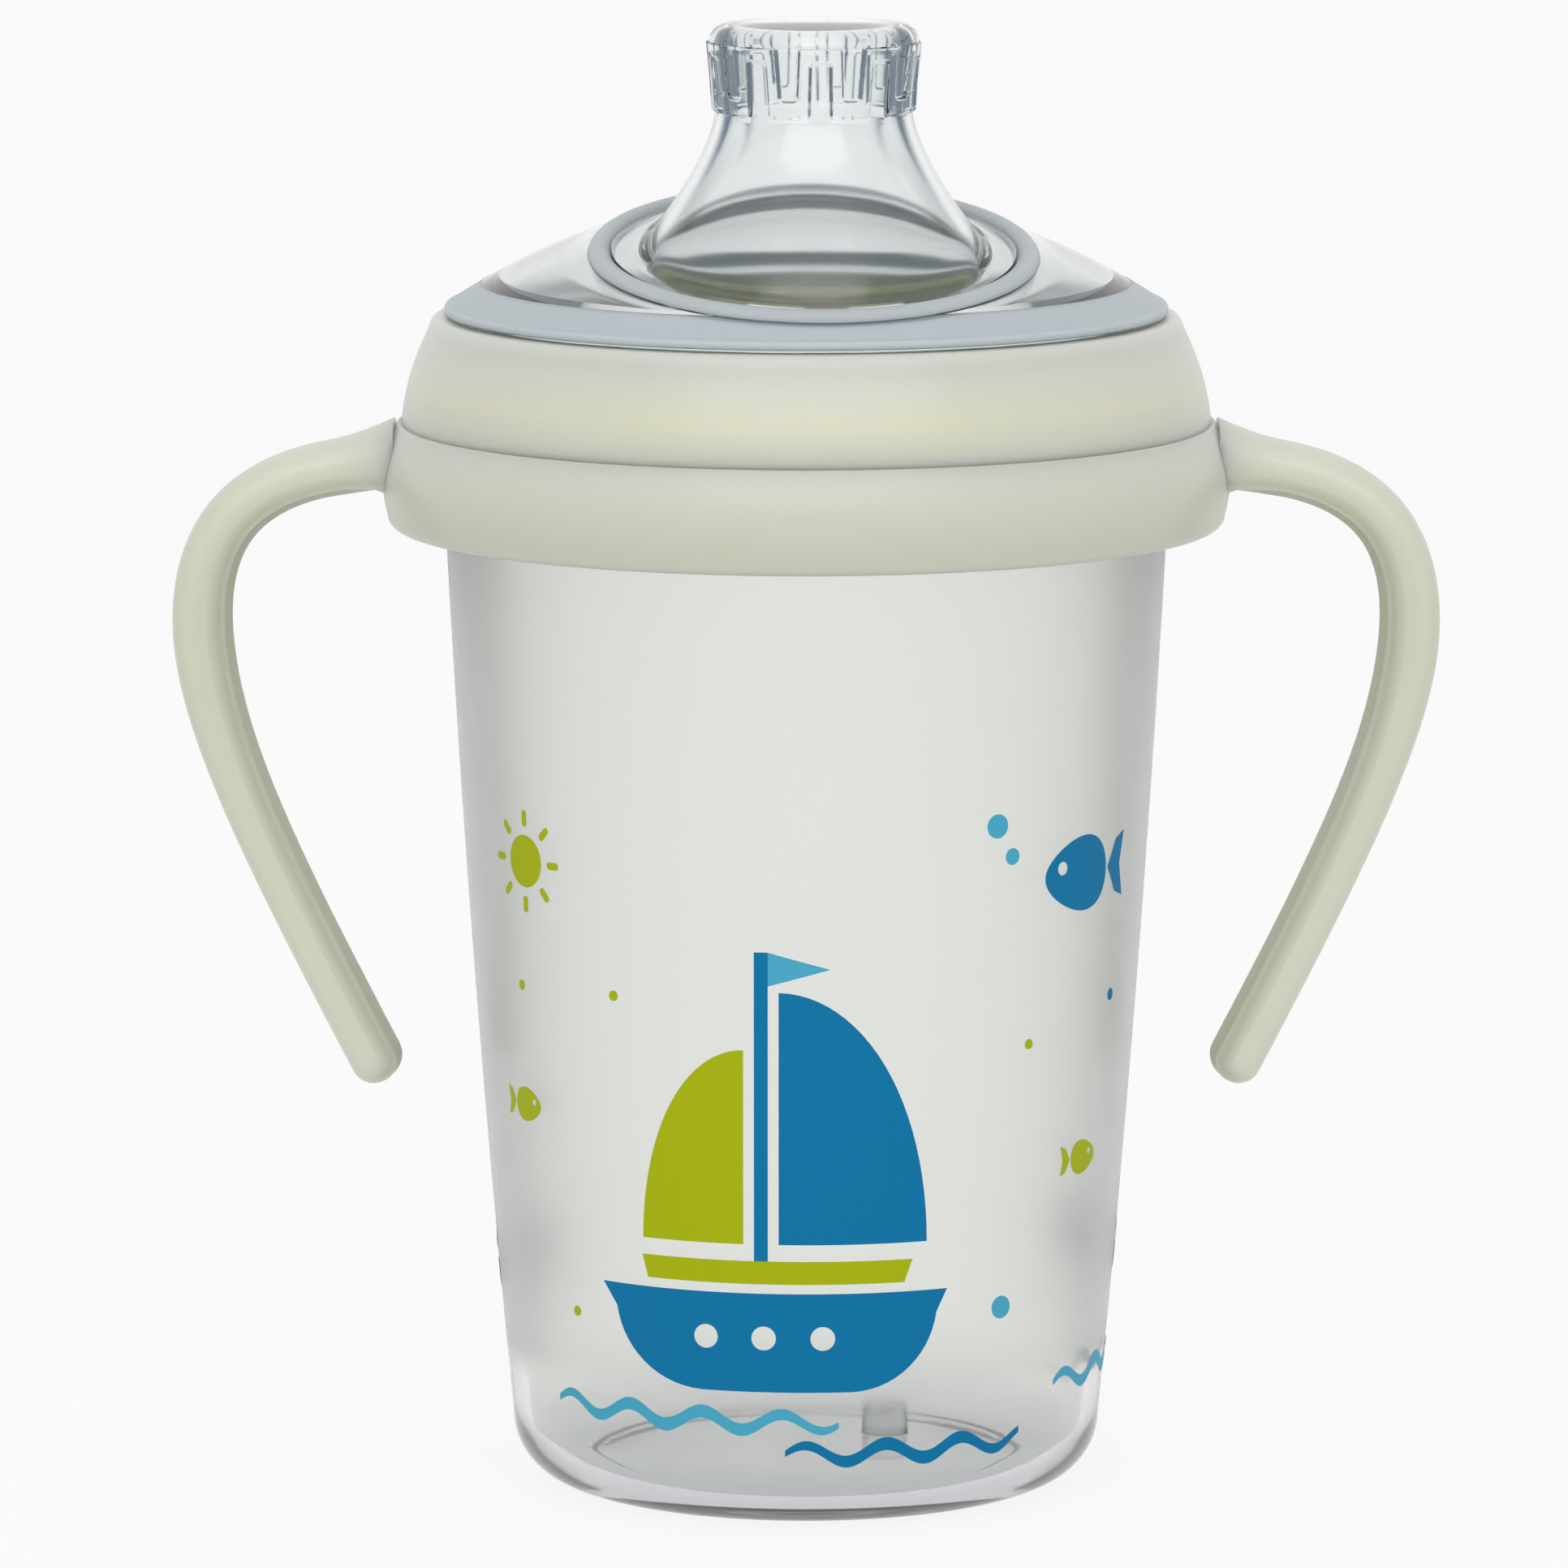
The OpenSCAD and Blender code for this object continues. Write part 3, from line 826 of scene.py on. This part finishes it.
def outer_rows():
    """Rings of the outer face from the tip to the dome's edge, as (columns, point of angle)."""
    rows = []
    lip_r = WAIST_R + LIP_OUT
    top = [(r, mix(TIP_Z, LIP_Z, (r / (lip_r - LIP_ROUND)) ** 2)) for r in (2.0, 4.0, 6.0, 7.2)]
    for r, z in top + arc(lip_r - LIP_ROUND, LIP_Z - LIP_ROUND, LIP_ROUND, 85, 0, 8):
        rows.append((CROWN_COLUMNS, lambda a, r=r, z=z: (*from_spout_axis(r, a), z)))
    crown_top = LIP_Z - LIP_ROUND
    crown_rows = 56
    for i in range(1, crown_rows + 1):
        z = mix(crown_top, WAIST_Z - 0.1, i / crown_rows)
        base = crown_radius(max(0.0, (z - WAIST_Z) / (crown_top - WAIST_Z)))
        rows.append((CROWN_COLUMNS, lambda a, z=z, b=base: (*from_spout_axis(b + ridge_height(a, z), a), z)))
    flare_rows = 16
    flare_d = flare_depth(FLARE_TOP_R)
    for i in range(1, flare_rows + 1):
        d = mix(0.1, flare_d, i / flare_rows)
        rows.append((SPOUT_COLUMNS, lambda a, d=d: (*from_spout_axis(flare_radius(d), a), WAIST_Z - d)))
    valley_rows = 16
    for i in range(1, valley_rows + 1):
        r = mix(FLARE_TOP_R, VALLEY_R, i / valley_rows)
        rows.append((SPOUT_COLUMNS, lambda a, r=r: valley_point(a, r)))
    for alpha in range(0, 181, 15):
        rows.append((SPOUT_COLUMNS, lambda a, alpha=alpha: bead_point(a, math.radians(alpha))))
    dome_rows = 14
    for i in range(1, dome_rows + 1):
        rows.append((SPOUT_COLUMNS, lambda a, t=i / dome_rows: dome_point(a, t)))
    return rows


def valley_point(angle, r):
    x, y = from_spout_axis(r, angle)
    outer = dome_height(math.hypot(x, y))
    return x, y, soft_max(WAIST_Z - flare_depth(r), outer, 1.2)


def bead_point(angle, alpha, bead_r=BEAD_R):
    """A point of the bead. alpha runs over it from the spout's side to the dome's."""
    r = BEAD_RING_R - bead_r * math.cos(alpha)
    rise = bead_r * math.sin(alpha)
    flat = Vector((r * math.cos(angle), r * math.sin(angle), rise))
    tilted = Matrix.Rotation(BEAD_TILT, 3, "X") @ flat
    return tilted.x, tilted.y - SPOUT_OFFSET, tilted.z + BEAD_Z


def dome_point(angle, t):
    """A point of the dome between the bead, t = 0, and the dome's rim, t = 1."""
    x0, y0, z0 = bead_point(angle, math.pi)
    x1, y1 = FLANK_R * math.cos(angle), FLANK_R * math.sin(angle)
    x, y = mix(x0, x1, t), mix(y0, y1, t)
    return x, y, mix(z0, dome_height(math.hypot(x, y)), smoothstep(0, 0.12, t))


def rim_rows():
    """Rings round the dome's rim, the groove for the collar's plate, and the sealing flange."""
    under_plate = FLANGE_Z + FLANGE_T
    profile = arc(DOME_R - 0.4, FLANK_Z - 0.35, 0.4, 60, 0, 3)
    profile += arc(DOME_R - 0.3, DOME_Z + 0.3, 0.3, 0, -90, 3)
    profile += [(GROOVE_R + 2, DOME_Z), (GROOVE_R, DOME_Z), (GROOVE_R, under_plate), (FLANGE_R, under_plate),
                (FLANGE_R, FLANGE_Z), (HOLLOW_R, FLANGE_Z),
                (HOLLOW_R, dome_height(HOLLOW_R, DOME_WALL) - 0.6)]
    return [(SPOUT_COLUMNS, lambda a, r=r, z=z: on_circle(r, a, z)) for r, z in profile]


def inner_rows():
    """Rings of the inner face from the hollow's wall up to the membrane under the tip."""
    rows = []
    for i in range(0, 13):
        rows.append((SPOUT_COLUMNS, lambda a, t=i / 12: hollow_point(a, t)))
    mouth_r = VALLEY_R - SPOUT_WALL
    for i in range(1, 19):
        r = mix(mouth_r, FLARE_TOP_R - SPOUT_WALL, i / 18)
        rows.append((SPOUT_COLUMNS, lambda a, r=r: passage_point(a, r)))
    flare_d = flare_depth(FLARE_TOP_R)
    for i in range(1, 15):
        d = mix(flare_d, 0.0, i / 14)
        r = flare_radius(d) - SPOUT_WALL
        rows.append((SPOUT_COLUMNS, lambda a, r=r, d=d: (*from_spout_axis(r, a), WAIST_Z - d)))
    roof = TIP_Z - MEMBRANE_T
    for i in range(1, 9):
        z = mix(WAIST_Z, roof - 1.0, i / 8)
        r = crown_radius(i / 8 * 0.9) - SPOUT_WALL
        rows.append((SPOUT_COLUMNS, lambda a, r=r, z=z: (*from_spout_axis(r, a), z)))
    last = crown_radius(0.9) - SPOUT_WALL
    for r, z in arc(last - 1.0, roof - 1.0, 1.0, 15, 90, 5) + [(5.0, roof), (2.5, roof)]:
        rows.append((SPOUT_COLUMNS, lambda a, r=r, z=z: (*from_spout_axis(r, a), z)))
    return rows


def hollow_point(angle, t):
    """The hollow's ceiling between its wall, t = 0, and the mouth of the passage, t = 1."""
    mouth_x, mouth_y = from_spout_axis(VALLEY_R - SPOUT_WALL, angle)
    x = mix(HOLLOW_R * math.cos(angle), mouth_x, t)
    y = mix(HOLLOW_R * math.sin(angle), mouth_y, t)
    return x, y, dome_height(math.hypot(x, y), DOME_WALL)


def passage_point(angle, r):
    x, y = from_spout_axis(r, angle)
    ceiling = dome_height(math.hypot(x, y), DOME_WALL)
    return x, y, soft_max(WAIST_Z - flare_depth(r + SPOUT_WALL), ceiling, 0.3)


def stitch(rows):
    """Joins rings into one closed skin. A ring may have half the columns of the one before it."""
    turn = Matrix.Rotation(SPOUT_TURN, 3, "Z")
    points, starts = [], []
    for count, point in rows:
        starts.append(len(points))
        points += [turn @ Vector(point(TAU * k / count)) for k in range(count)]
    faces = []
    for (count, _), (below, _), a, b in zip(rows, rows[1:], starts, starts[1:]):
        step = count // below
        for k in range(below):
            n = (k + 1) % below
            upper = [a + (k * step + j) % count for j in range(step + 1)]
            faces.append(tuple(upper + [b + n, b + k]))
    for (count, _), start, ahead in ((rows[0], starts[0], 0), (rows[-1], starts[-1], 1)):
        centre = sum((points[start + k] for k in range(count)), Vector()) / count
        points.append(centre)
        for k in range(count):
            faces.append((start + k, start + (k + 1) % count, len(points) - 1))
    return points, faces


def build_spout():
    points, faces = stitch(outer_rows() + rim_rows() + inner_rows())
    piece = new_piece("spout_skin", points, faces, SILICONE_MATERIAL, "spout")
    outward(piece)
    sharpen(piece, 42)
    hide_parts("spout")


def build_satin_bands():
    """The satin skin over the bead and over the dome's rim."""
    turn = Matrix.Rotation(SPOUT_TURN, 3, "Z")
    over = [(math.radians(mix(8, 172, i / 12)), BEAD_R + 0.05) for i in range(13)]
    under = [(alpha, BEAD_R - 0.35) for alpha, _ in reversed(over)]
    rings = [[turn @ Vector(bead_point(TAU * k / SPOUT_COLUMNS, alpha, r)) for alpha, r in over + under]
             for k in range(SPOUT_COLUMNS)]
    points, faces = loft(rings + rings[:1], close_ends=False)
    bead = new_piece("bead_skin", points, faces, SATIN_MATERIAL, "spout")
    bm = bmesh.new()
    bm.from_mesh(bead.data)
    bmesh.ops.remove_doubles(bm, verts=bm.verts, dist=1e-7)
    bm.to_mesh(bead.data)
    bm.free()
    outward(bead)
    radii = [mix(30.6, FLANK_R, i / 10) for i in range(11)]
    outer = [(r, dome_height(r) + 0.05) for r in radii]
    outer += arc(DOME_R - 0.4, FLANK_Z - 0.35, 0.45, 60, 0, 3) + [(DOME_R + 0.05, DOME_Z + 0.3)]
    inner = [(DOME_R - 0.5, DOME_Z + 0.3)] + [(r - 0.3, dome_height(r) - 0.5) for r in reversed(radii)]
    points, faces = lathe(outer + inner, SPOUT_COLUMNS)
    rim = new_piece("rim_skin", points, faces, SATIN_MATERIAL, "spout")
    outward(rim)
    for piece in (bead, rim):
        sharpen(piece, 50)


build_spout()
build_satin_bands()


# ---- Camera, light and stage ----

LENS = 252.2
CAMERA_PLACE = (-2.1, -1029, 223)
CAMERA_DOWN = 8.655
FLAG_COLOUR = "#4F6678"
WORLD_FLAGS = (0.35, 0.65)
FLOOR_FLAGS = (0.23, 0.45)
GLOW_SHARE = 0.88
FLOOR_HALF = 3.0
FLOOR_DROP = 0.0003
LIGHT_BOUNCES = 32
HORIZON_LIGHT = 1.05
ZENITH_LIGHT = 0.45
SIDE_LIGHT = 0.75


def build_camera():
    data = bpy.data.cameras.new("camera")
    data.sensor_width = 36
    data.lens = LENS
    camera = bpy.data.objects.new("camera", data)
    camera.location = Vector(CAMERA_PLACE) * MM
    camera.rotation_euler = (math.radians(90 - CAMERA_DOWN), 0, 0)
    bpy.context.scene.collection.objects.link(camera)
    bpy.context.scene.camera = camera


def area_light(name, location, target, size, power):
    data = bpy.data.lights.new(name, "AREA")
    data.shape = "RECTANGLE"
    data.size, data.size_y = size
    data.energy = power
    light = bpy.data.objects.new(name, data)
    light.location = location
    light.rotation_euler = (Vector(target) - Vector(location)).to_track_quat("-Z", "Y").to_euler()
    bpy.context.scene.collection.objects.link(light)


def seen_directly(nodes, links):
    """1 for rays that show the background: from the camera, a mirror or a clear solid. Light that
    reaches a matte surface doesn't count, even through a clear solid."""
    path = nodes.new("ShaderNodeLightPath")
    either = nodes.new("ShaderNodeMath")
    either.operation = "MAXIMUM"
    links.new(path.outputs["Is Camera Ray"], either.inputs[0])
    links.new(path.outputs["Is Glossy Ray"], either.inputs[1])
    any_ray = nodes.new("ShaderNodeMath")
    any_ray.operation = "MAXIMUM"
    links.new(either.outputs["Value"], any_ray.inputs[0])
    links.new(path.outputs["Is Transmission Ray"], any_ray.inputs[1])
    no_matte = nodes.new("ShaderNodeMath")
    no_matte.operation = "LESS_THAN"
    no_matte.inputs[1].default_value = 0.5
    links.new(path.outputs["Diffuse Depth"], no_matte.inputs[0])
    both = nodes.new("ShaderNodeMath")
    both.operation = "MULTIPLY"
    links.new(any_ray.outputs["Value"], both.inputs[0])
    links.new(no_matte.outputs["Value"], both.inputs[1])
    return both.outputs["Value"]


def colour_socket(sockets, identifier):
    return next(socket for socket in sockets if socket.identifier == identifier)


def flags(nodes, links, coordinates, near, far):
    """White, except that clear solids see it darken to both sides, as between the black flags of a
    studio."""
    direction = nodes.new("ShaderNodeTexCoord")
    split = nodes.new("ShaderNodeSeparateXYZ")
    sideways = nodes.new("ShaderNodeMath")
    sideways.operation = "ABSOLUTE"
    ramp = nodes.new("ShaderNodeValToRGB")
    ramp.color_ramp.interpolation = "EASE"
    stops = ((near, "#FFFFFF"), (far, FLAG_COLOUR))
    for element, (across, colour) in zip(ramp.color_ramp.elements, stops):
        element.position, element.color = across, srgb(colour)
    path = nodes.new("ShaderNodeLightPath")
    view = nodes.new("ShaderNodeMix")
    view.data_type = "RGBA"
    colour_socket(view.inputs, "A_Color").default_value = (1, 1, 1, 1)
    links.new(direction.outputs[coordinates], split.inputs["Vector"])
    links.new(split.outputs["X"], sideways.inputs[0])
    links.new(sideways.outputs["Value"], ramp.inputs["Fac"])
    links.new(path.outputs["Is Transmission Ray"], view.inputs["Factor"])
    links.new(ramp.outputs["Color"], colour_socket(view.inputs, "B_Color"))
    return colour_socket(view.outputs, "Result_Color")


def build_world():
    """Light that is strongest at the horizon, and weaker overhead and to both sides."""
    world = bpy.data.worlds.new("studio")
    world.use_nodes = True
    bpy.context.scene.world = world
    nodes, links = world.node_tree.nodes, world.node_tree.links
    lighting = nodes["Background"]
    lighting.inputs["Color"].default_value = srgb("#F2F4F6")
    direction = nodes.new("ShaderNodeTexCoord")
    split = nodes.new("ShaderNodeSeparateXYZ")
    height = nodes.new("ShaderNodeMapRange")
    height.inputs["To Min"].default_value = HORIZON_LIGHT
    height.inputs["To Max"].default_value = ZENITH_LIGHT
    links.new(direction.outputs["Generated"], split.inputs["Vector"])
    links.new(split.outputs["Z"], height.inputs["Value"])
    sideways = nodes.new("ShaderNodeMath")
    sideways.operation = "ABSOLUTE"
    side = nodes.new("ShaderNodeMapRange")
    side.inputs["From Min"].default_value = 0.3
    side.inputs["To Min"].default_value = 1.0
    side.inputs["To Max"].default_value = SIDE_LIGHT
    product = nodes.new("ShaderNodeMath")
    product.operation = "MULTIPLY"
    links.new(split.outputs["X"], sideways.inputs[0])
    links.new(sideways.outputs["Value"], side.inputs["Value"])
    links.new(height.outputs["Result"], product.inputs[0])
    links.new(side.outputs["Result"], product.inputs[1])
    links.new(product.outputs["Value"], lighting.inputs["Strength"])
    backdrop = nodes.new("ShaderNodeBackground")
    backdrop.inputs["Strength"].default_value = 1.0
    links.new(flags(nodes, links, "Generated", *WORLD_FLAGS), backdrop.inputs["Color"])
    choose = nodes.new("ShaderNodeMixShader")
    links.new(seen_directly(nodes, links), choose.inputs["Fac"])
    links.new(lighting.outputs["Background"], choose.inputs[1])
    links.new(backdrop.outputs["Background"], choose.inputs[2])
    links.new(choose.outputs["Shader"], nodes["World Output"].inputs["Surface"])


def build_floor():
    material, shader = principled("floor_white", "#F0F0F0", 0.8)
    nodes, links = material.node_tree.nodes, material.node_tree.links
    glow = nodes.new("ShaderNodeEmission")
    links.new(flags(nodes, links, "Object", *FLOOR_FLAGS), glow.inputs["Color"])
    glow.inputs["Strength"].default_value = 1.0
    share = nodes.new("ShaderNodeMath")
    share.operation = "MULTIPLY"
    share.inputs[1].default_value = GLOW_SHARE
    links.new(seen_directly(nodes, links), share.inputs[0])
    blend = nodes.new("ShaderNodeMixShader")
    links.new(share.outputs["Value"], blend.inputs["Fac"])
    links.new(shader.outputs["BSDF"], blend.inputs[1])
    links.new(glow.outputs["Emission"], blend.inputs[2])
    links.new(blend.outputs["Shader"], nodes["Material Output"].inputs["Surface"])
    mesh = bpy.data.meshes.new("floor")
    half = FLOOR_HALF
    corners = [(-half, -half, 0), (half, -half, 0), (half, half, 0), (-half, half, 0)]
    mesh.from_pydata(corners, [], [(0, 1, 2, 3)])
    mesh.materials.append(material)
    floor = bpy.data.objects.new("floor", mesh)
    floor.location.z = -FLOOR_DROP
    bpy.context.scene.collection.objects.link(floor)


build_camera()
build_world()
build_floor()
area_light("front", (0.0, -1.45, 1.1), (0, 0, 0.09), (2.2, 1.1), 10.5)
area_light("top", (0.0, 0.0, 1.1), (0, 0, 0.1), (0.7, 0.7), 0.8)

bpy.context.scene.view_settings.view_transform = "Standard"
bpy.context.scene.cycles.max_bounces = LIGHT_BOUNCES
bpy.context.scene.cycles.transmission_bounces = LIGHT_BOUNCES
